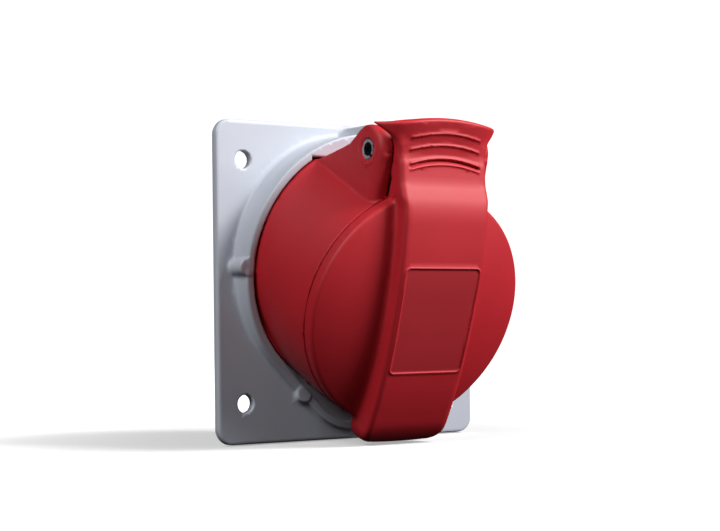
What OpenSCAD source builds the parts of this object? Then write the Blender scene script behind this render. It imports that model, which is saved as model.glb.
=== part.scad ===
// Angled panel socket outlet, five contacts, with a self-closing hinged lid.
// Frame: millimetres, +Z up, the front faces -Y. The origin is the centre of
// the mounting face at the back of the flange, so the panel's face is y = 0.

/* [Flange] */
// Width of the square flange
flange_w = 96; // [92:1:100]
// Height of the flange
flange_h = 100; // [96:1:104]
// Thickness of the flange plate
flange_t = 3; // [2.5:0.1:4]
// Corner radius of the plate
corner_r = 5.2; // [3:0.2:7]
// Fixing hole diameter, for M5 screws
fix_d = 5.5; // [4.5:0.1:6.5]
// Spacing of the fixing holes across the plate
fix_x = 77; // [76:0.5:79]
// Spacing of the fixing holes up the plate
fix_z = 75; // [74:0.5:79]
// Radius of the collar's round upper part
collar_r = 41.6; // [41:0.1:42]
// Wall thickness of the collar
collar_wall = 2.6; // [2.2:0.1:3]
// Height of the collar's rim above the mounting face, on its centre line
collar_h = 9.7; // [8:0.1:12]
// Slope of the collar's rim, which stands higher at the top
collar_slope = 9.7; // [6:0.1:12]

/* [Socket] */
// Downward tilt of the plug axis
tilt = 20; // [16:0.5:24]
// Height of the plug axis where it crosses the mounting face
axis_z = 4.8; // [4:0.1:5.5]
// Outer radius of the housing at its front rim
house_r = 37; // [36.5:0.1:38]
// Inner radius of the sleeve that takes the plug's shroud
sleeve_r = 32.1; // [31.8:0.1:32.3]
// Distance of the sleeve's front rim along the plug axis
rim_w = 38.4; // [38:0.1:39]
// Depth of the sleeve behind its front rim
sleeve_depth = 32.4; // [30:0.1:33]
// Width of the keyway at the bottom of the sleeve
key_w = 9; // [7:0.5:10]

/* [Contacts] */
// Radius of the contact carrier
insert_r = 27.7; // [27.4:0.1:27.9]
// Distance of the carrier's front face along the plug axis
insert_w = 36.5; // [34:0.5:37]
// Pitch circle radius of the contacts
pitch_r = 20; // [19:0.1:20.4]
// Bore for a line or neutral pin
pin_bore_d = 6.1; // [6:0.05:6.3]
// Bore for the earth pin
earth_bore_d = 8.1; // [8:0.05:8.3]

/* [Lid] */
// Distance of the lid's edge plane along the plug axis
lid_w = 42.7; // [42.5:0.1:43]
// Rise of the lid's dome
dome_h = 5.4; // [4.5:0.1:6]
// Half width of the strap that runs down the lid
strap_hw = 15.2; // [14.5:0.1:15.3]
// Wall thickness of the lid
lid_wall = 2.4; // [2:0.1:2.6]
// Opening angle at which the model is drawn
lid_open = 0; // [0:1:95]

/* [Hinge] */
// Height of the hinge pin above the plug axis
hinge_v = 46; // [45.8:0.1:46.2]
// Distance of the hinge pin along the plug axis
hinge_w = 30.5; // [30.3:0.1:30.7]
// Hinge pin diameter
pin_d = 5.8; // [5.6:0.1:5.8]
// Outer face of the hinge ears, from the middle
ear_out = 20.2; // [20:0.1:20.4]
// Inner face of the hinge ears, from the middle
ear_in = 16; // [15.9:0.1:16.2]
// Radius of the ears' rounded nose
ear_r = 7.2; // [6.8:0.1:7.3]

/* [Hidden] */
$fn = 96;
e = 0.02;
red = [0.74, 0.12, 0.15];
grey = [0.80, 0.82, 0.86];
black = [0.12, 0.12, 0.13];
brass = [0.80, 0.64, 0.30];
steel = [0.72, 0.73, 0.75];
// the egg-shaped collar: a large circle above and a small one below
egg_za = 4.2;
egg_rb = 18.5;
egg_zb = -28.5;
floor_w = rim_w - sleeve_depth;
pin_r = pin_d / 2;
// screw bosses round the collar: angle about the upper circle's centre
boss_angles = [0, 180, 90, 245, 295];
screw_angles = [0, 180, 245, 295];
boss_reach = [41.4, 41.4, 41.4, 43.4, 43.4];
screw_reach = [36.3, 36.3, 37.8, 37.8];
screw_top = [9.6, 9.6, 7.4, 7.4];
rear_r = 33.9;
contact_angles = [270, 342, 54, 126, 198];

// x right, y up, z out of the panel's face
module front() rotate([90, 0, 0]) children();
// x right, y up across the plug axis, z out along the plug axis
module tilted() translate([0, 0, axis_z]) rotate([90 + tilt, 0, 0]) children();
// a side profile in (up, out), extruded across the socket
module across(h) rotate([90, 0, 90]) linear_extrude(h, center = true) children();
// about the hinge pin, inside tilted()
module at_hinge() translate([0, hinge_v, hinge_w]) children();
module pin_bar(r, h) at_hinge() rotate([0, 90, 0]) cylinder(r = r, h = h, center = true);
module swing() tilted() translate([0, hinge_v, hinge_w]) rotate([-lid_open, 0, 0])
  translate([0, -hinge_v, -hinge_w]) children();

module rounded(w, h, r) {
  square([w - 2 * r, h], center = true);
  square([w, h - 2 * r], center = true);
  for (i = [-1, 1], j = [-1, 1]) translate([i * (w / 2 - r), j * (h / 2 - r)]) circle(r);
}

// outline of the collar, drawn in by g
module egg(g) {
  ra = collar_r - g;
  rb = egg_rb - g;
  a = asin((ra - rb) / (egg_za - egg_zb));
  translate([0, egg_za]) circle(ra, $fn = 128);
  translate([0, egg_zb]) circle(rb, $fn = 96);
  polygon([[ra * cos(a), egg_za - ra * sin(a)], [-ra * cos(a), egg_za - ra * sin(a)],
    [-rb * cos(a), egg_zb - rb * sin(a)], [rb * cos(a), egg_zb - rb * sin(a)]]);
}

// everything behind the collar's sloping rim, lowered by d
module under_rim(d) difference() {
  translate([-60, -60, 0]) cube([120, 120, 40]);
  translate([0, 0, collar_h - d]) rotate([collar_slope, 0, 0])
    translate([-80, -80, 0]) cube([160, 160, 60]);
}

module fixing_holes(d) for (i = [-1, 1], j = [-1, 1])
  translate([i * fix_x / 2, j * fix_z / 2, -5]) cylinder(d = d, h = 20, $fn = 48);

module mounting_flange() color(grey) front() difference() {
  union() {
    linear_extrude(flange_t) rounded(flange_w, flange_h, corner_r);
    intersection() { linear_extrude(24) egg(0); under_rim(0); }
    // a low lip carries the collar round the bottom
    linear_extrude(flange_t + 1.4) egg(0);
    for (k = [0:4]) intersection() {
      translate([0, egg_za, 0]) rotate([0, 0, boss_angles[k]]) translate([boss_reach[k], 0, 0])
        cylinder(r = 3.6, h = 24, $fn = 48);
      union() { under_rim(0.9); translate([-60, -60, 0]) cube([120, 120, 7.2]); }
      translate([-60, -60, 0]) cube([120, 109.4, 30]);
    }
  }
  // the opening inside the collar, squared off above for the hinge block
  difference() {
    translate([0, 0, flange_t]) linear_extrude(30) egg(collar_wall);
    translate([-60, 38, 0]) cube([120, 20, 40]);
  }
  translate([-21.5, 20, flange_t]) cube([43, 18, 40]);
  // passage for the tilted rear tube
  rotate([-90, 0, 0]) tilted() passage(0.4);
  fixing_holes(fix_d);
  // recess for the gasket
  translate([0, 0, -1]) difference() {
    linear_extrude(2.2) rounded(flange_w - 3, flange_h - 3, corner_r - 1.5);
    linear_extrude(3) gasket_opening(0);
    translate([0, 0, -3]) fixing_lands(4.6, 8);
  }
  for (k = [0:3]) boss_at(k) translate([0, 0, -1]) cylinder(d = 3, h = 8, $fn = 32);
}

module boss_at(k) translate([0, egg_za, 0]) rotate([0, 0, screw_angles[k]])
  translate([screw_reach[k], 0, 0]) children();

module fixing_lands(r, h) for (i = [-1, 1], j = [-1, 1])
  translate([i * fix_x / 2, j * fix_z / 2, 0]) cylinder(r = r, h = h, $fn = 48);

// the hole in the gasket, and so in the panel, clear of the screw heads
module gasket_opening(g) translate([0, egg_za]) circle(41 + g, $fn = 128);

module flange_gasket() color(black) front() difference() {
  linear_extrude(1.2) rounded(flange_w - 3.2, flange_h - 3.2, corner_r - 1.6);
  translate([0, 0, -1]) linear_extrude(4) gasket_opening(0.1);
  translate([0, 0, -2]) fixing_lands(4.7, 8);
}

// outer radius of the housing at distance w along the plug axis
function body_r(w) = w > 30 ? house_r : house_r - pow(30 - w, 2) / 200;

// room for the tilted rear tube and the body that flares out of it
module passage(g) rotate_extrude($fn = 128) polygon(concat([[0, -30], [rear_r + g, -30], [rear_r + g, 4]],
  [for (w = [7:4:30]) [body_r(w) + g, w]], [[0, 30]]));

// base of the housing, on the floor of the collar
module base_disc(z0, z1, r) translate([0, 0, z0]) linear_extrude(z1 - z0) intersection() {
  translate([0, egg_za]) circle(r, $fn = 128);
  egg(collar_wall + 0.4);
  translate([-60, -60]) square([120, 97.6]);
}

module ear() {
  at_hinge() rotate([0, 90, 0]) cylinder(r = ear_r, h = ear_out - ear_in, center = true, $fn = 72);
  across(ear_out - ear_in) polygon([[hinge_v + 4.1, hinge_w - 5.9], [47.3, 22.2], [45.2, 20.4], [43.2, 17.2],
    [36.4, 5.3], [29, 5.3], [29, 36.6], [34, 37.1], [hinge_v, hinge_w + ear_r], [hinge_v, hinge_w]]);
}

module socket_housing() color(red) difference() {
  union() {
    // everything in front of the collar's floor
    intersection() {
      union() {
        tilted() {
          rotate_extrude($fn = 128) polygon(concat([[20, -2], [rear_r, -2], [rear_r, 5]],
            [for (w = [7:2.3:30]) [body_r(w), w]], [[house_r, 31], [house_r, rim_w - 0.6],
            [house_r - 0.6, rim_w], [20, rim_w]]));
          for (s = [-1, 1]) translate([s * (ear_in + ear_out) / 2, 0, 0]) ear();
          // seat for the spring's fixed leg
          translate([3.2, 34, 12]) cube([5, 6.6, 8]);
        }
        front() {
          base_disc(3.6, 5.4, 38.4);
          for (k = [0:3]) boss_at(k) translate([0, 0, 3.6]) cylinder(r = 2.4, h = screw_top[k] - 3.6, $fn = 40);
        }
      }
      translate([-60, -103.6, -60]) cube([120, 100, 120]);
    }
    // rear tube, through the flange and the panel
    tilted() translate([0, 0, -13]) cylinder(r = rear_r, h = 13 + 16, $fn = 128);
  }
  tilted() {
    // sleeve for the plug's shroud, its ledge and the rear tube
    translate([0, 0, floor_w]) cylinder(r = sleeve_r, h = 60, $fn = 128);
    translate([0, 0, -60]) cylinder(r = 28, h = 100, $fn = 128);
    translate([0, 0, -60]) cylinder(r = 31, h = 60 + floor_w - 3, $fn = 128);
    // keyway
    translate([-key_w / 2, -33.9, floor_w + 6]) cube([key_w, 10, 60]);
    pin_bar(pin_r + 0.05, 60);
  }
  front() for (k = [0:3]) boss_at(k) translate([0, 0, 0]) cylinder(d = 2.6, h = screw_top[k] - 0.8, $fn = 32);
}

module housing_seal() color(black) difference() {
  front() base_disc(3, 3.6, 38);
  tilted() passage(0.3);
  front() for (k = [0:3]) boss_at(k) cylinder(d = 3, h = 8, $fn = 32);
}

// a pan-head screw pointing along +z from the underside of its head
module pan_screw(d, l, head_d, head_h) difference() {
  union() {
    cylinder(d = d, h = l, $fn = 32);
    translate([0, 0, -head_h]) cylinder(d = head_d, h = head_h, $fn = 40);
  }
  translate([0, 0, -head_h - e]) {
    translate([-head_d * 0.36, -0.4, 0]) cube([head_d * 0.72, 0.8, head_h * 0.55]);
    translate([-0.4, -head_d * 0.36, 0]) cube([0.8, head_d * 0.72, head_h * 0.55]);
  }
}

module housing_screws() color(steel) front() for (k = [0:3]) boss_at(k)
  pan_screw(2.4, screw_top[k] - 1.2, 4.4, 1.8);

module hinge_pin() color(steel) tilted() at_hinge() difference() {
  rotate([0, 90, 0]) cylinder(r = pin_r, h = 2 * ear_out - 0.2, center = true, $fn = 72);
  rotate([0, 90, 0]) cylinder(r = pin_r - 0.85, h = 60, center = true, $fn = 60);
  rotate([35, 0, 0]) translate([-40, -0.45, 0]) cube([80, 0.9, 8]);
}

// radius of the dome's sphere, and its height at radius r
dome_R = (36.4 * 36.4 + dome_h * dome_h) / (2 * dome_h);
function dome(r) = dome_h - dome_R + sqrt(dome_R * dome_R - r * r);

module lid_cap() rotate_extrude($fn = 128) polygon(concat(
  [[0, rim_w + 0.3], [house_r, rim_w + 0.3], [house_r, lid_w - 0.7], [36.7, lid_w - 0.2]],
  [for (r = [36.4:-3.64:0]) [r, lid_w + dome(r)]]));

module lid_hollow() {
  translate([0, 0, rim_w - 1]) cylinder(r = 34.6, h = 41 - rim_w + 1, $fn = 128);
  rotate_extrude($fn = 128) polygon(concat([[0, 40], [29, 40]],
    [for (r = [29:-2.9:0]) [r, lid_w + dome(r) - lid_wall]]));
}

// front face of the strap, from the thumb tab down to the latch lip
strap_front = [[47, -1.2], [45, -0.4], [42.5, 0.4], [40, 1.4],
  [38, 2.7], [35, 4.6], [31.5, 6.0], [27, 7.0], [20, 8.2], [12, 9.1], [0, 9.5], [-12, 9.4],
  [-22, 8.7], [-30, 7.6], [-36, 6.0], [-39.3, 3.8], [-40.8, 1.2], [-41.2, -1.5], [-41.2, -3.9]];
// inner face of the hollow strap
strap_in = [[33, 0], [33, 3.0], [27, 4.6], [20, 5.8], [12, 6.7], [0, 7.1], [-12, 7.0], [-22, 6.3],
  [-29, 5.2], [-33, 3.6], [-33, 0]];
function at_lid(p) = [for (q = p) [q[0], q[1] + lid_w]];

module strap() {
  across(2 * strap_hw) polygon(at_lid(concat(strap_front,
    [[-30, -3.9], [-26, 0.5], [26, 0.5], [33, -3.9], [38.6, -3.9], [40.5, -6.5], [hinge_v, -8],
     [52.4, -8], [52.4, -4.2], [50, -2.6]])));
}

// the flared thumb tab: a plan outline, cut to the shape seen from the front
module tab() intersection() {
  translate([0, 70, lid_w]) rotate([90, 0, 0]) linear_extrude(28)
    polygon([[-22, -8.6], [-20.3, -6.2], [-17.5, -4.0], [-14, -2.4], [-8, -1.75], [8, -1.75], [14, -2.4],
      [17.5, -4.0], [20.3, -6.2], [22, -8.6], [20.6, -9.6], [18.6, -8.0], [15.4, -6.2], [8, -4.4],
      [-8, -4.4], [-15.4, -6.2], [-18.6, -8.0], [-20.6, -9.6]]);
  translate([0, 0, lid_w - 20]) linear_extrude(30) polygon(concat(
    [for (x = [-22:2:22]) [x, 58.4 - 3.4 * pow(x / 22, 2)]],
    [[22, 54.2], [19, 52.6], [17, 50.4], [15.9, 47.6], [15.2, 44], [-15.2, 44], [-15.9, 47.6], [-17, 50.4],
     [-19, 52.6], [-22, 54.2]]));
}

// raised ribs for the thumb, each an arc
module grip_ribs() for (v = [54.2, 50.4, 46.6])
  translate([0, v - 52, lid_w - 3]) intersection() {
    difference() {
      cylinder(r = 52, h = 2.2, $fn = 128);
      translate([0, 0, -1]) cylinder(r = 51.1, h = 5, $fn = 128);
    }
    translate([-12.6, 0, -1]) cube([25.2, 60, 6]);
  }

module name_frame() {
  // thin raised border of the blank name panel on the strap
  difference() {
    across(27.2) polygon(at_lid([[16.4, 6], [16.4, 8.95], [12, 9.4], [0, 9.8], [-12, 9.7], [-16.4, 9.35], [-16.4, 6]]));
    across(26.2) polygon(at_lid([[15.9, 5], [15.9, 12], [-15.9, 12], [-15.9, 5]]));
  }
}

module lid() color(red) swing() difference() {
  union() {
    lid_cap();
    strap();
    tab();
    grip_ribs();
    name_frame();
    pin_bar(6.4, 30.8);
  }
  lid_hollow();
  across(2 * (strap_hw - lid_wall)) polygon(at_lid(strap_in));
  pin_bar(pin_r + 0.06, 60);
  // the tab's flares clear the ears' noses
  for (s = [-1, 1]) translate([s * 19.7, 0, 0]) pin_bar(ear_r + 0.4, 8.2);
  // room for the spring between the knuckles
  pin_bar(6.6, 14);
  translate([-7, hinge_v - 14, hinge_w - 12]) cube([14, 14, 12]);
  translate([-7, hinge_v - 6.2, hinge_w - 2]) cube([14, 6.2, 8.6]);
}

module lid_seal() color(black) swing() translate([0, 0, rim_w + 0.3]) difference() {
  cylinder(r = 34.4, h = 41 - rim_w - 0.3, $fn = 128);
  translate([0, 0, -1]) cylinder(r = 29.4, h = 8, $fn = 128);
}

// torsion spring round the pin: a sweep of an octagon along its wire
wire_r = 0.6;
coil_r = 4.4;
coil_pitch = 1.42;
// wire centre points: fixed leg, helix, moving leg, in (x, w from pin, v from pin)
function coil_pt(a) = [5.5 - coil_pitch * a / 360, coil_r * sin(a), -coil_r * cos(a)];
turn_end = 360 * 7.25;
wire_pts = concat([[5.5, -17, -4.4], [5.5, -10, -4.4], [5.5, -5, -4.4]],
  [for (a = [0:24:turn_end]) coil_pt(a)],
  [[5.5 - coil_pitch * 7.25, 4.4, -2], [5.5 - coil_pitch * 7.25, 4.4, -5.5]]);
function unit(v) = v / norm(v);
function tang(i) = unit(wire_pts[min(i + 1, len(wire_pts) - 1)] - wire_pts[max(i - 1, 0)]);
function side(t) = unit(cross(t, [1, 0.02, 0.01]));
module lid_spring() color(steel) tilted() at_hinge() {
  m = len(wire_pts);
  pts = [for (i = [0:m - 1]) let (t = tang(i), s = side(t), u = cross(t, s), p = wire_pts[i])
    for (k = [0:7]) let (q = p + wire_r * (cos(45 * k) * s + sin(45 * k) * u)) [q[0], q[2], q[1]]];
  faces = concat([[for (k = [0:7]) k]],
    [for (i = [0:m - 2], k = [0:7]) [8 * i + k, 8 * (i + 1) + k, 8 * (i + 1) + (k + 1) % 8, 8 * i + (k + 1) % 8]],
    [[for (k = [7:-1:0]) 8 * (m - 1) + k]]);
  polyhedron(pts, faces, convexity = 10);
}

module at_contact(k) rotate([0, 0, contact_angles[k]]) translate([pitch_r, 0, 0]) children();
function is_earth(k) = k == 0;
function tube_r(k) = is_earth(k) ? 5.4 : 4.4;

// the three screws that draw the carrier and the block together
module at_clamp() for (a = [90, 234, 306]) rotate([0, 0, a]) translate([9.4, 0, 0]) children();

module contact_carrier() color(black) tilted() difference() {
  // with a shoulder on the sleeve's ledge
  rotate_extrude($fn = 128) polygon([[0, floor_w - 3], [insert_r, floor_w - 3], [insert_r, floor_w],
    [sleeve_r - 0.2, floor_w], [sleeve_r - 0.2, floor_w + 2], [insert_r, floor_w + 2],
    [insert_r, insert_w - 0.8], [insert_r - 0.8, insert_w], [0, insert_w]]);
  // groove for the seal ring
  translate([0, 0, floor_w - 1]) difference() {
    cylinder(r = 31, h = 2, $fn = 128);
    translate([0, 0, -1]) cylinder(r = 29, h = 5, $fn = 128);
  }
  for (k = [0:4]) at_contact(k) {
    translate([0, 0, -1]) cylinder(r = tube_r(k) + 0.6, h = 60, $fn = 48);
  }
  // cored from the back round the screw posts
  translate([0, 0, -1]) difference() {
    cylinder(r = 13.2, h = insert_w - 2.5, $fn = 96);
    at_clamp() cylinder(r = 3, h = 60, $fn = 40);
  }
  at_clamp() translate([0, 0, -1]) cylinder(d = 3, h = 16, $fn = 32);
}

module carrier_seal() color([0.2, 0.2, 0.22]) tilted() translate([0, 0, floor_w]) difference() {
  cylinder(r = 30.9, h = 1, $fn = 128);
  translate([0, 0, -1]) cylinder(r = 29.1, h = 5, $fn = 128);
}

module terminal_block() color([0.30, 0.31, 0.33]) tilted() difference() {
  union() {
    translate([0, 0, -16]) cylinder(r = 30.6, h = 16 + floor_w - 3, $fn = 128);
    translate([0, 0, -16]) cylinder(r = rear_r, h = 3, $fn = 128);
    // barriers between the terminals
    for (k = [0:4]) rotate([0, 0, contact_angles[k] + 36]) translate([12.9, -0.8, -29]) cube([15, 1.6, 18]);
    // hub round the screw wells
    translate([0, 0, -30]) cylinder(r = 13.2, h = 20, $fn = 96);
  }
  for (k = [0:4]) at_contact(k) {
    translate([0, 0, floor_w - 6]) cylinder(r = tube_r(k) + 1.8, h = 8, $fn = 48);
    translate([0, 0, -40]) cylinder(r = tube_r(k) + 1.1, h = 50, $fn = 48);
  }
  at_clamp() {
    translate([0, 0, -60]) cylinder(d = 3.6, h = 70, $fn = 32);
    translate([0, 0, -60]) cylinder(d = 6.4, h = 48, $fn = 40);
  }
  // cored between the terminals from the front
  translate([0, 0, -12]) for (k = [0:4]) rotate([0, 0, contact_angles[k] + 36]) translate([23, 0, 0]) cylinder(r = 4.4, h = 20, $fn = 40);
}

module block_screws() color(steel) tilted() at_clamp() translate([0, 0, -12]) pan_screw(2.9, 24, 5.8, 2.2);

// split socket tube, shoulder and pillar terminal, turned from one bar
module contact(k) color(brass) tilted() at_contact(k) difference() {
  r = tube_r(k);
  b = is_earth(k) ? earth_bore_d / 2 : pin_bore_d / 2;
  union() {
    cylinder(r = r, h = insert_w - 1.5, $fn = 64);
    translate([0, 0, floor_w - 6]) cylinder(r = r + 1.6, h = 3, $fn = 64);
    translate([0, 0, -29]) cylinder(r = r + 0.9, h = 30, $fn = 64);
  }
  translate([0, 0, 7]) cylinder(r = b, h = 40, $fn = 64);
  for (a = [0, 90]) rotate([0, 0, a]) translate([-10, -0.35, 15]) cube([20, 0.7, 30]);
  translate([0, 0, -30]) cylinder(r = b - 0.05, h = 15, $fn = 48);
  // tapped hole for the clamp screw, facing outwards
  translate([0, 0, -23.5]) rotate([0, 90, 0]) cylinder(r = 1.75, h = 20, $fn = 32);
}
module contact_earth() contact(0);
module contact_l1() contact(4);
module contact_l2() contact(3);
module contact_l3() contact(2);
module contact_neutral() contact(1);

module clamp_screw(k) tilted() at_contact(k) translate([0, 0, -23.5]) rotate([0, 90, 0])
  translate([0, 0, tube_r(k) - 1.3]) difference() {
    cylinder(r = 1.7, h = 5, $fn = 32);
    translate([-2, -0.35, 4]) cube([4, 0.7, 2]);
  }
module terminal_screws() color(steel) for (k = [1:4]) clamp_screw(k);
module earth_screw() color(steel) clamp_screw(0);

module spring_ring(k) tilted() at_contact(k) translate([0, 0, 25]) difference() {
  cylinder(r = tube_r(k) + 0.45, h = 4, $fn = 64);
  translate([0, 0, -1]) cylinder(r = tube_r(k), h = 6, $fn = 64);
  translate([0, -0.6, -1]) cube([10, 1.2, 6]);
}
module contact_springs() color(steel) for (k = [1:4]) spring_ring(k);
module earth_contact_spring() color(steel) spring_ring(0);

mounting_flange();
flange_gasket();
socket_housing();
housing_seal();
housing_screws();
hinge_pin();
lid();
lid_seal();
lid_spring();
contact_carrier();
carrier_seal();
terminal_block();
block_screws();
contact_l1();
contact_l2();
contact_l3();
contact_neutral();
contact_earth();
terminal_screws();
earth_screw();
contact_springs();
earth_contact_spring();
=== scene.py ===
import math

import bpy
import numpy as np
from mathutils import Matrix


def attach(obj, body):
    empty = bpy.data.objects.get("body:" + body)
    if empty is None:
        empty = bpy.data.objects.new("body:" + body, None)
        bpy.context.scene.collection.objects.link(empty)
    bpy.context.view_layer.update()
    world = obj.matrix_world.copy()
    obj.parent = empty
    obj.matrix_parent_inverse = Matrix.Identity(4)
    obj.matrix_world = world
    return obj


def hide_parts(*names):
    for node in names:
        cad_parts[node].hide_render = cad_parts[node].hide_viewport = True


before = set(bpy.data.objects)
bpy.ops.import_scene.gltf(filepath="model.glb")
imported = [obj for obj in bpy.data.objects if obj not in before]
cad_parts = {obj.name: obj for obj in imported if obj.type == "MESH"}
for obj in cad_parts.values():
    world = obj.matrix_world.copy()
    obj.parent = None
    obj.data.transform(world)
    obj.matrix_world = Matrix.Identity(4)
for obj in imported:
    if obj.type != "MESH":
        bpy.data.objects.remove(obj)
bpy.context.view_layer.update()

import openvdb
from mathutils import Matrix, Vector

# ------------------------------------------------------------ the object's frame, in mm
TILT = math.radians(20.0)
S, C = math.sin(TILT), math.cos(TILT)
AXIS_Z = 4.8
LID_W = 42.7
PIN_V, PIN_W = 46.0, 30.5
MM = 0.001


def to_world(x, v, w):
    return x, -v * S - w * C, AXIS_Z + v * C - w * S


def dir_world(x, v, w):
    return x, -v * S - w * C, v * C - w * S


# ------------------------------------------------------------ distance-field tools
def smax(a, b, k):
    h = np.maximum(k - np.abs(a - b), 0.0) / k
    return np.maximum(a, b) + h * h * k * 0.25


def smin(a, b, k):
    return -smax(-a, -b, k)


def step(a, b, x):
    t = np.clip((x - a) / (b - a), 0.0, 1.0)
    return t * t * (3 - 2 * t)


def poly(px, py, pts):
    d = np.full(np.broadcast(px, py).shape, 1e9)
    s = np.ones(d.shape)
    for i in range(len(pts)):
        ax, ay = pts[i]
        bx, by = pts[i - 1]
        ex, ey = bx - ax, by - ay
        wx, wy = px - ax, py - ay
        t = np.clip((wx * ex + wy * ey) / (ex * ex + ey * ey), 0, 1)
        d = np.minimum(d, (wx - ex * t) ** 2 + (wy - ey * t) ** 2)
        c1, c2, c3 = py >= ay, py < by, ex * wy > ey * wx
        s = np.where((c1 & c2 & c3) | (~c1 & ~c2 & ~c3), -s, s)
    return s * np.sqrt(d)


def spline(pts, n=5):
    out = []
    p = [pts[0]] + list(pts) + [pts[-1]]
    for i in range(1, len(p) - 2):
        a, b, c, d = (np.array(q, float) for q in p[i - 1:i + 3])
        for t in np.linspace(0, 1, n, endpoint=False):
            out.append(tuple(0.5 * (2 * b + (c - a) * t + (2 * a - 5 * b + 4 * c - d) * t * t
                                    + (3 * b - a - 3 * c + d) * t ** 3)))
    out.append(tuple(pts[-1]))
    return out


def round_rect(px, py, hx, hy, r):
    qx, qy = np.abs(px) - (hx - r), np.abs(py) - (hy - r)
    return np.hypot(np.maximum(qx, 0), np.maximum(qy, 0)) + np.minimum(np.maximum(qx, qy), 0) - r


def mesh_of(name, f, lo, hi, cell, place, place_dir, adapt=0.06, mats=(), pick=None):
    """A mesh of the surface f = 0, in millimetres, with its points pulled onto the surface and normals from the field."""
    n = [int(math.ceil((hi[i] - lo[i]) / cell)) + 1 for i in range(3)]
    ax = [lo[i] + cell * np.arange(n[i]) for i in range(3)]
    d = f(ax[0][:, None, None], ax[1][None, :, None], ax[2][None, None, :])
    d = np.broadcast_to(d, n)
    band = 3.0 * cell
    grid = openvdb.FloatGrid(band)
    grid.copyFromArray(np.ascontiguousarray(np.clip(d, -band, band), dtype=np.float32))
    pts, tris, quads = grid.convertToPolygons(0.0, adapt)
    p = pts.astype(np.float64) * cell + np.array(lo)
    h = 0.04

    def grad(q):
        g = np.empty_like(q)
        for i in range(3):
            e = np.zeros(3)
            e[i] = h
            a, b = q + e, q - e
            g[:, i] = (f(a[:, 0], a[:, 1], a[:, 2]) - f(b[:, 0], b[:, 1], b[:, 2])) / (2 * h)
        return g

    for _ in range(3):
        val = f(p[:, 0], p[:, 1], p[:, 2])
        g = grad(p)
        stepv = (val / np.maximum((g * g).sum(1), 0.15))[:, None] * g
        lim = np.maximum(np.linalg.norm(stepv, axis=1) / (0.45 * cell), 1.0)
        p = p - stepv / lim[:, None]
    g = grad(p)
    g /= np.maximum(np.linalg.norm(g, axis=1), 1e-9)[:, None]
    wp = np.stack(place(p[:, 0], p[:, 1], p[:, 2]), 1) * MM
    wn = np.stack(place_dir(g[:, 0], g[:, 1], g[:, 2]), 1)
    faces = [tuple(int(i) for i in q) for q in quads] + [tuple(int(i) for i in t) for t in tris]
    me = bpy.data.meshes.new(name)
    me.from_pydata([tuple(q) for q in wp], [], faces)
    me.validate()
    me.update()
    # turn the faces outwards if the winding came out the other way
    k = len(me.polygons)
    fn = np.empty(k * 3)
    me.polygons.foreach_get("normal", fn)
    first = np.array([q.vertices[0] for q in me.polygons])
    if (fn.reshape(-1, 3) * wn[first]).sum() < 0:
        me.flip_normals()
    me.polygons.foreach_set("use_smooth", [True] * k)
    for m in mats:
        me.materials.append(m)
    if pick is not None:
        loc = np.zeros((k, 3))
        for i, q in enumerate(me.polygons):
            loc[i] = p[list(q.vertices)].mean(0)
        me.polygons.foreach_set("material_index", pick(loc[:, 0], loc[:, 1], loc[:, 2]).astype(np.int32))
    me.update()
    me.normals_split_custom_set_from_vertices([tuple(q) for q in wn])
    o = bpy.data.objects.new(name, me)
    bpy.context.collection.objects.link(o)
    print(name, "triangles", sum(len(q.vertices) - 2 for q in me.polygons))
    return o


CELL = 0.4


# ------------------------------------------------------------ materials
def principled(name, color, rough, metal=0.0, ior=1.5, coat=0.0):
    m = bpy.data.materials.new(name)
    m.use_nodes = True
    b = m.node_tree.nodes["Principled BSDF"]
    b.inputs["Base Color"].default_value = (*color, 1)
    b.inputs["Roughness"].default_value = rough
    b.inputs["Metallic"].default_value = metal
    b.inputs["IOR"].default_value = ior
    b.inputs["Coat Weight"].default_value = coat
    return m


def textured(name, dark, light, rough_lo, rough_hi, scale, bump_scale, bump, metal=0.0, ior=1.5, distance=0.0001):
    """Slight unevenness of colour and gloss over the surface, and a fine grain."""
    m = principled(name, light, rough_lo, metal, ior)
    t = m.node_tree
    b = t.nodes["Principled BSDF"]
    co = t.nodes.new("ShaderNodeTexCoord")
    n1 = t.nodes.new("ShaderNodeTexNoise")
    n1.inputs["Scale"].default_value = scale
    n1.inputs["Detail"].default_value = 4
    t.links.new(co.outputs["Object"], n1.inputs["Vector"])
    ramp = t.nodes.new("ShaderNodeValToRGB")
    ramp.color_ramp.elements[0].position = 0.3
    ramp.color_ramp.elements[0].color = (*dark, 1)
    ramp.color_ramp.elements[1].position = 0.7
    ramp.color_ramp.elements[1].color = (*light, 1)
    t.links.new(n1.outputs["Fac"], ramp.inputs["Fac"])
    t.links.new(ramp.outputs["Color"], b.inputs["Base Color"])
    mr = t.nodes.new("ShaderNodeMapRange")
    mr.inputs["To Min"].default_value = rough_lo
    mr.inputs["To Max"].default_value = rough_hi
    t.links.new(n1.outputs["Fac"], mr.inputs["Value"])
    t.links.new(mr.outputs["Result"], b.inputs["Roughness"])
    n2 = t.nodes.new("ShaderNodeTexNoise")
    n2.inputs["Scale"].default_value = bump_scale
    n2.inputs["Detail"].default_value = 3
    t.links.new(co.outputs["Object"], n2.inputs["Vector"])
    bm = t.nodes.new("ShaderNodeBump")
    bm.inputs["Strength"].default_value = bump
    bm.inputs["Distance"].default_value = distance
    t.links.new(n2.outputs["Fac"], bm.inputs["Height"])
    t.links.new(bm.outputs["Normal"], b.inputs["Normal"])
    return m


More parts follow.
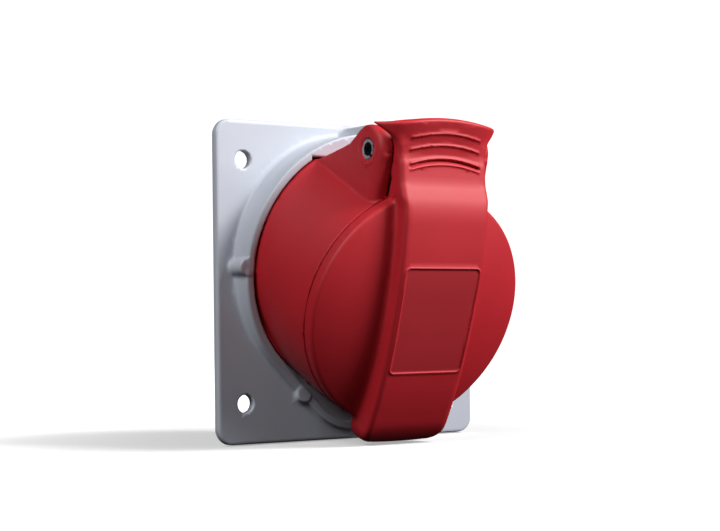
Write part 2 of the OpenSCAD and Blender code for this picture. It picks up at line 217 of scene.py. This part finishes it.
red = textured("red_plastic", (0.50, 0.010, 0.019), (0.53, 0.012, 0.022), 0.54, 0.60, 60, 2600, 0.10)
# inside the name panel: a rougher finish, and a darker red that is painted shade standing in for the sheen the panel
# lacks
red_matte_painted_shade = textured("red_plastic_panel_painted_shade", (0.41, 0.008, 0.016), (0.43, 0.009, 0.018), 0.64, 0.70, 60, 3000, 0.22)
grey = textured("grey_plastic", (0.50, 0.53, 0.60), (0.53, 0.56, 0.63), 0.42, 0.50, 50, 2200, 0.12)
black = textured("black_plastic", (0.010, 0.010, 0.011), (0.016, 0.016, 0.018), 0.42, 0.55, 80, 2400, 0.15)
dark = textured("dark_grey_plastic", (0.045, 0.048, 0.054), (0.06, 0.064, 0.072), 0.45, 0.55, 80, 2400, 0.15)
rubber = textured("rubber", (0.010, 0.010, 0.011), (0.016, 0.016, 0.017), 0.68, 0.8, 120, 3000, 0.3)
steel = textured("steel", (0.50, 0.50, 0.51), (0.60, 0.60, 0.62), 0.20, 0.34, 220, 4000, 0.08, metal=1.0)
brass = textured("brass", (0.62, 0.44, 0.16), (0.72, 0.53, 0.22), 0.22, 0.36, 220, 4000, 0.08, metal=1.0)

# ------------------------------------------------------------ lid
STRAP_FRONT = spline([(47.6, -1.9), (46.4, -1.3), (45, -0.5), (42.5, 0.4), (40, 1.4), (38, 2.7), (35, 4.6),
                      (31.5, 6.0), (27, 7.0), (20, 8.2), (12, 9.1), (0, 9.5), (-12, 9.4), (-22, 8.7), (-30, 7.6),
                      (-35.6, 6.5), (-39.4, 4.6), (-41.6, 2.0), (-42.4, -1.0), (-42.3, -3.9)])
STRAP = STRAP_FRONT + [(-30, -3.9), (-26, 0.5), (26, 0.5), (33, -3.9), (38.6, -3.9), (40.5, -6.5), (46, -8),
                       (52.4, -8), (52.4, -4.2), (50, -2.6)]
STRAP_IN = [(33, -1), (33, 3.0), (27, 4.6), (20, 5.8), (12, 6.7), (0, 7.1), (-12, 7.0), (-22, 6.3), (-29, 5.2),
            (-33, 3.6), (-33, -1)]
side = spline([(15.2, 45.5), (15.4, 48.0), (16.2, 50.2), (17.8, 52.0), (19.8, 53.3), (22.0, 54.6)], 4)
TAB_PLAN = ([(-a, b) for a, b in side]
            + [(x, 58.4 - 3.4 * (x / 22) ** 2) for x in np.linspace(-21.7, 21.7, 25)]
            + [(a, b) for a, b in side[::-1]])
DOME_R = (36.4 ** 2 + 5.4 ** 2) / (2 * 5.4)


def tab_front(x):
    return -1.7 - 6.9 * (np.abs(x) / 22) ** 4.5


def lid_field(x, v, w):
    u = w - LID_W
    ax = np.abs(x)
    r = np.sqrt(x * x + v * v)
    q = np.minimum(r, 37.5) / 36.4
    sph = (u - 5.4 * (1 - q ** 2.5)) / np.sqrt(1 + (0.371 * q ** 1.5) ** 2)
    cap = smax(smax(r - 37.0, sph, 0.9), -4.03 - u, 0.3)
    # the strap down the middle
    prof = poly(v, u, STRAP)
    hw = 15.2 - 0.5 * step(20, -30, v) + 0.5 * step(32.5, 36.5, v)
    qx, qy = ax - (hw - 4.6), (-38.2) - v + ax * ax / 110.0
    plan = np.hypot(np.maximum(qx, 0), np.maximum(qy, 0)) + np.minimum(np.maximum(qx, qy), 0) - 4.6
    strap = smax(prof, plan, 1.9)
    body = smin(cap, strap, 1.3)
    body = np.minimum(body, np.maximum(np.maximum(ax - 15.7, np.abs(v - 37.4) - 3.4), np.abs(u + 2.45) - 1.45))
    # the thumb tab
    uf = tab_front(x)
    slope = 1.41 * (ax / 22) ** 3.5
    half = 1.45 - 0.65 * step(14, 21, ax)
    slab = (np.abs(u - (uf - half)) - half) / np.sqrt(1 + slope * slope)
    tab = smax(slab, poly(x, v, TAB_PLAN), 0.9)
    body = smin(body, tab, 1.6)
    # thumb ribs, and a groove under the lowest
    front = step(-1.9, -1.1, u - uf)
    arc = v + x * x / 88.0
    across = np.sqrt(1 + (x / 44.0) ** 2)
    ends = step(13.2, 12.0, ax)
    for v0, high, wide in ((54.2, 0.30, 0.42), (50.7, 0.34, 0.42), (46.9, 0.42, 0.5), (45.2, 0.32, 0.42)):
        body = body - front * ends * high * np.exp(-((arc - v0) / across / wide) ** 2)
    body = body + front * ends * 0.75 * np.exp(-((arc - 46.05) / across / 0.42) ** 2)
    # knuckles on the pin
    pin = np.hypot(v - PIN_V, w - PIN_W)
    body = smin(body, smax(pin - 6.4, ax - 15.4, 0.8), 0.8)
    # border of the blank name panel
    hwp = 13.25 + 0.0153 * v
    d2 = round_rect(x * 13.25 / hwp, v + 0.2, 13.25, 16.3, 1.6)
    near = step(4.0, 6.0, u)
    body = body - near * (0.26 * np.exp(-(d2 / 0.36) ** 2) - 0.10 * step(0.2, -0.5, d2))
    # hollows
    hollow = np.maximum(r - 34.6, u + 1.7)
    hollow = np.minimum(hollow, np.maximum(r - 29.0, sph + 2.4))
    hollow = np.minimum(hollow, np.maximum(poly(v, u, STRAP_IN), ax - 12.8))
    hollow = np.minimum(hollow, pin - 2.96)
    hollow = np.minimum(hollow, np.maximum(pin - 7.6, 15.6 - ax))
    box = np.maximum(np.maximum(ax - 7, np.abs(v - 39) - 7), np.abs(w - 24.5) - 6)
    box2 = np.maximum(np.maximum(ax - 7, np.abs(v - 42.9) - 3.1), np.abs(w - 32.8) - 4.3)
    hollow = np.minimum(hollow, np.minimum(np.maximum(pin - 6.6, ax - 7), np.minimum(box, box2)))
    return smax(body, -hollow, 0.35)


# faces inside the name panel's border get the rougher red with its painted shade
def panel_faces(x, v, w):
    hwp = 13.25 + 0.0153 * v
    d2 = round_rect(x * 13.25 / hwp, v + 0.2, 13.25, 16.3, 1.6)
    return (d2 < -0.45) & (w - LID_W > 5.2)


lid = mesh_of("lid_shell", lid_field, (-38.2, -43.6, 23.0), (38.2, 59.4, 53.6), CELL * 0.7, to_world, dir_world, 0.03,
              mats=(red, red_matte_painted_shade), pick=panel_faces)
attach(lid, "lid")
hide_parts("lid")

# ------------------------------------------------------------ housing
EAR = [(50.1, 24.6), (47.3, 22.2), (45.2, 20.4), (43.2, 17.2), (31, -4.2), (28, -4.2), (28, 38.4), (38, 38.4),
       (46, 37.7), (46, 30.5)]


POSTS = ((0, 36.3, 9.9), (180, 36.3, 9.9), (245, 37.8, 7.7), (295, 37.8, 7.7))


def capsule_egg(px, py):
    """Distance to the egg-shaped outline, x across and y up from the plate's centre."""
    r1, r2, h = 41.6, 18.5, 32.7
    x, y = np.abs(px), -(py - 4.2)
    b = (r1 - r2) / h
    a = math.sqrt(1 - b * b)
    k = -b * x + a * y
    d1 = np.hypot(x, y) - r1
    d2 = np.hypot(x, y - h) - r2
    d3 = a * x + b * y - r1
    return np.where(k < 0, d1, np.where(k > a * h, d2, d3))


def house_field(x, v, w):
    y = -v * S - w * C
    z = AXIS_Z + v * C - w * S
    ax = np.abs(x)
    r = np.sqrt(x * x + v * v)
    br = 37.0 - np.where(w < 30, (30 - w) ** 2 / 200.0, 0.0)
    # behind its front the drum swells to fill the collar's rim, whose plane leans half as much
    d0 = (-10.54 - y) * 0.9857 + (4.9 - z) * 0.1685
    d1 = w - 38.55
    t = np.clip(d0 / np.maximum(d0 - d1, 1.0), -0.35, 1.0)
    cy, cz = -10.54 - 25.69 * t, 4.9 - 13.28 * t
    swell = (np.sqrt(x * x + (y - cy) ** 2 + (z - cz) ** 2) - (38.2 - 1.2 * t)) * 0.97
    swell = smax(swell, z - 37.4, 0.8)
    body = smax(smin(r - br, swell, 1.2), w - 38.55, 0.25)
    rim = 9.9 + 0.1709 * z
    body = np.maximum(body, np.minimum(np.maximum(capsule_egg(x, z) + 3.0, z - 37.5), rim + y))
    pin = np.hypot(v - PIN_V, w - PIN_W)
    prof = smin(pin - 7.2, poly(v, w, EAR), 0.8)
    k = 0.8 + 2.2 * step(27, 33.5, w)
    h = np.maximum(k - np.abs(prof - (ax - 20.2)), 0.0) / k
    ear = np.maximum(prof, ax - 20.2) + h * h * k * 0.25
    ear = smax(ear, 16.0 - ax, 0.4)
    # faint ring round the pin, stronger below
    ring = np.exp(-((pin - 4.4) / 0.32) ** 2) * (0.4 + 0.6 * step(2.0, -3.0, (v - PIN_V) + (w - PIN_W)))
    ear = ear - 0.16 * ring * step(19.6, 20.0, ax)
    body = smin(body, ear, 0.4)
    disc = np.maximum(np.maximum(np.hypot(x, z - 4.2) - 38.4, capsule_egg(x, z) + 3.0), np.maximum(-5.4 - y, z - 37.6))
    body = smin(body, disc, 0.8)
    for a, reach, top in POSTS:
        px, pz = reach * math.cos(math.radians(a)), 4.2 + reach * math.sin(math.radians(a))
        body = smin(body, np.maximum(np.hypot(x - px, z - pz) - 2.6, np.maximum(-top - y, y + 5.0)), 0.5)
    seat = np.maximum(np.maximum(np.abs(x - 5.7) - 2.5, np.abs(v - 37.3) - 3.3), np.abs(w - 16) - 4)
    body = np.minimum(body, seat)
    body = np.maximum(body, y + 3.6)
    tube = np.maximum(np.maximum(r - 33.9, -13.0 - w), w - 16)
    body = np.minimum(body, tube)
    cut = np.maximum(r - 32.1, 6.0 - w)
    cut = np.minimum(cut, r - 28.0)
    cut = np.minimum(cut, np.maximum(r - 31.0, w - 3.0))
    key = np.maximum(np.maximum(ax - 4.5, np.abs(v + 29) - 4.9), 12.0 - w)
    cut = np.minimum(cut, np.minimum(key, pin - 2.95))
    return smax(body, -cut, 0.5)


house = mesh_of("housing_body", house_field, (-39.6, -39.6, -14.0), (39.6, 54.4, 39.4), CELL * 1.1, to_world, dir_world,
                mats=(red,))
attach(house, "socket")
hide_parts("socket_housing")

# ------------------------------------------------------------ flange with its collar
BOSS = ((0, 41.4), (180, 41.4), (90, 41.4), (245, 43.4), (295, 43.4))


def flange_field(x, z, hgt):
    ax = np.abs(x)
    plate = smax(round_rect(x, z, 48.0, 50.0, 5.2), np.abs(hgt - 1.5) - 1.5, 0.9)
    egg = capsule_egg(x, z)
    rim = (hgt - (9.7 + 0.1709 * z)) * 0.9857
    wall = smax(egg - 0.7 * np.clip((10 - hgt) / 10, 0, 1), rim, 0.8)
    lip = smax(egg, hgt - 4.4, 0.6)
    out = smin(wall, lip, 0.8)
    for a, reach in BOSS:
        cx, cz = reach * math.cos(math.radians(a)), 4.2 + reach * math.sin(math.radians(a))
        top = np.minimum(rim + 0.1, hgt - 4.6)
        rb = 2.6 if a == 180 else 3.4 if a < 200 else 2.6
        b = smax(smax(np.hypot(x - cx, z - cz) - rb, top, 0.5), z - 49.4, 0.5)
        out = smin(out, b, 0.8)
    inner = np.maximum(egg + 2.6, z - 38.0)
    inner = np.minimum(inner, np.maximum(ax - 21.5, np.abs(z - 29) - 9))
    out = smax(out, -np.maximum(inner, 3.0 - hgt), 0.7)
    body = smin(plate, np.maximum(out, -hgt), 1.3)
    body = np.maximum(body, -np.maximum(inner, 3.0 - hgt))
    # passage of the tilted tube
    vv = hgt * S + (z - AXIS_Z) * C
    ww = hgt * C - (z - AXIS_Z) * S
    pr = 34.3 + np.clip(ww - 3.0, 0, 30) * 0.0
    pr = np.maximum(34.3, 37.4 - np.where(ww < 30, (30 - ww) ** 2 / 200.0, 0.0))
    body = smax(body, -(np.sqrt(x * x + vv * vv) - pr), 0.4)
    # fixing holes, softly broken at their edges
    hole = np.hypot(ax - 38.5, np.abs(z) - 37.5) - 2.75
    body = smax(body, -hole, 0.5)
    rec = np.maximum(np.maximum(round_rect(x, z, 46.5, 48.5, 3.7), 41.0 - np.hypot(x, z - 4.2)), hgt - 1.2)
    rec = np.maximum(rec, 4.6 - np.hypot(ax - 38.5, np.abs(z) - 37.5))
    body = np.maximum(body, -rec)
    return body


flange = mesh_of("flange_plate", flange_field, (-49.0, -51.0, -0.9), (49.0, 51.0, 18.9), CELL * 1.1,
                 lambda x, z, h: (x, -h, z), lambda x, z, h: (x, -h, z), mats=(grey,))
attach(flange, "socket")
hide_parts("mounting_flange")

# ------------------------------------------------------------ finishes of the other pieces
LOOK = {"flange_gasket": rubber, "housing_seal": rubber, "housing_screws": steel, "hinge_pin": steel,
        "lid_seal": rubber, "lid_spring": steel, "contact_carrier": black, "carrier_seal": rubber,
        "terminal_block": dark, "block_screws": steel, "contact_l1": brass, "contact_l2": brass,
        "contact_l3": brass, "contact_neutral": brass, "contact_earth": brass, "terminal_screws": steel,
        "earth_screw": steel, "contact_springs": steel, "earth_contact_spring": steel,
        "mounting_flange": grey, "socket_housing": red, "lid": red}
for n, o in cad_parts.items():
    if n in LOOK:
        o.data.materials.clear()
        o.data.materials.append(LOOK[n])


# ------------------------------------------------------------ floor and backdrop
def sweep():
    """A pale floor that curves up into a wall all round."""
    prof = [(0.0, 0.0), (0.25, 0.0), (0.6, 0.0), (1.1, 0.0), (1.6, 0.0)]
    for i in range(1, 13):
        a = math.pi / 2 * i / 12
        prof.append((1.6 + 0.6 * math.sin(a), 0.6 * (1 - math.cos(a))))
    prof.append((2.2, 2.6))
    n = 96
    vs, fs = [(0, 0, -0.0503)], []
    for r, z in prof[1:]:
        vs += [(r * math.cos(2 * math.pi * k / n), r * math.sin(2 * math.pi * k / n), z - 0.0503) for k in range(n)]
    fs += [(0, 1 + k, 1 + (k + 1) % n) for k in range(n)]
    for i in range(len(prof) - 2):
        a, b = 1 + i * n, 1 + (i + 1) * n
        fs += [(a + k, b + k, b + (k + 1) % n, a + (k + 1) % n) for k in range(n)]
    me = bpy.data.meshes.new("backdrop")
    me.from_pydata(vs, [], fs)
    me.polygons.foreach_set("use_smooth", [True] * len(fs))
    o = bpy.data.objects.new("backdrop", me)
    bpy.context.collection.objects.link(o)
    m = principled("paper", (0.60, 0.60, 0.60), 0.95)
    b = m.node_tree.nodes["Principled BSDF"]
    b.inputs["Specular IOR Level"].default_value = 0.0
    b.inputs["Emission Color"].default_value = (1, 1, 1, 1)
    # the glow grows away from the object, so that only the floor near it holds a shadow
    t = m.node_tree
    co = t.nodes.new("ShaderNodeTexCoord")
    ln = t.nodes.new("ShaderNodeVectorMath")
    ln.operation = "LENGTH"
    t.links.new(co.outputs["Object"], ln.inputs[0])
    mr = t.nodes.new("ShaderNodeMapRange")
    mr.interpolation_type = "SMOOTHSTEP"
    mr.inputs["From Min"].default_value = 0.06
    mr.inputs["From Max"].default_value = 0.22
    mr.inputs["To Min"].default_value = 0.36
    mr.inputs["To Max"].default_value = 1.05
    t.links.new(ln.outputs["Value"], mr.inputs["Value"])
    t.links.new(mr.outputs["Result"], b.inputs["Emission Strength"])
    me.materials.append(m)
    o.visible_diffuse = False
    o.visible_shadow = False
    o.visible_glossy = False
    return o


sweep()


# ------------------------------------------------------------ light and camera
def area(name, at, look, size, power, color=(1, 1, 1), size_y=None):
    d = bpy.data.lights.new(name, "AREA")
    d.energy = power
    d.color = color
    d.size = size
    if size_y:
        d.shape = "RECTANGLE"
        d.size_y = size_y
    o = bpy.data.objects.new(name, d)
    o.location = at
    o.rotation_mode = "QUATERNION"
    o.rotation_quaternion = (Vector(look) - Vector(at)).to_track_quat("-Z", "Y")
    bpy.context.collection.objects.link(o)
    return o


area("key", (0.55, -0.66, 0.68), (0, -0.02, 0), 0.35, 14.5)
area("left", (-0.85, -0.32, 0.72), (0, -0.02, 0), 0.55, 8.6)
area("front_right", (0.62, -0.80, 0.42), (0, -0.02, 0), 0.5, 4.0)

world = bpy.data.worlds.new("studio")
bpy.context.scene.world = world
world.use_nodes = True
world.node_tree.nodes["Background"].inputs[0].default_value = (1, 1, 1, 1)
world.node_tree.nodes["Background"].inputs[1].default_value = 0.018

scene = bpy.context.scene
scene.view_settings.view_transform = "Standard"
scene.view_settings.look = "None"

cam_data = bpy.data.cameras.new("camera")
cam_data.sensor_width = 36.0
cam_data.lens = 81.41
cam_data.clip_start, cam_data.clip_end = 0.02, 20
cam = bpy.data.objects.new("camera", cam_data)
yaw, pitch, roll = -0.5862, 0.0350, -0.0143
right0 = Vector((math.cos(yaw), math.sin(yaw), 0))
fwd = Vector((-math.sin(yaw) * math.cos(pitch), math.cos(yaw) * math.cos(pitch), math.sin(pitch)))
up0 = right0.cross(fwd)
right = math.cos(roll) * right0 + math.sin(roll) * up0
up = -math.sin(roll) * right0 + math.cos(roll) * up0
m = Matrix((right, up, -fwd)).transposed().to_4x4()
m.translation = Vector((-0.28509, -0.43843, -0.01313))
cam.matrix_world = m
bpy.context.collection.objects.link(cam)
scene.camera = cam
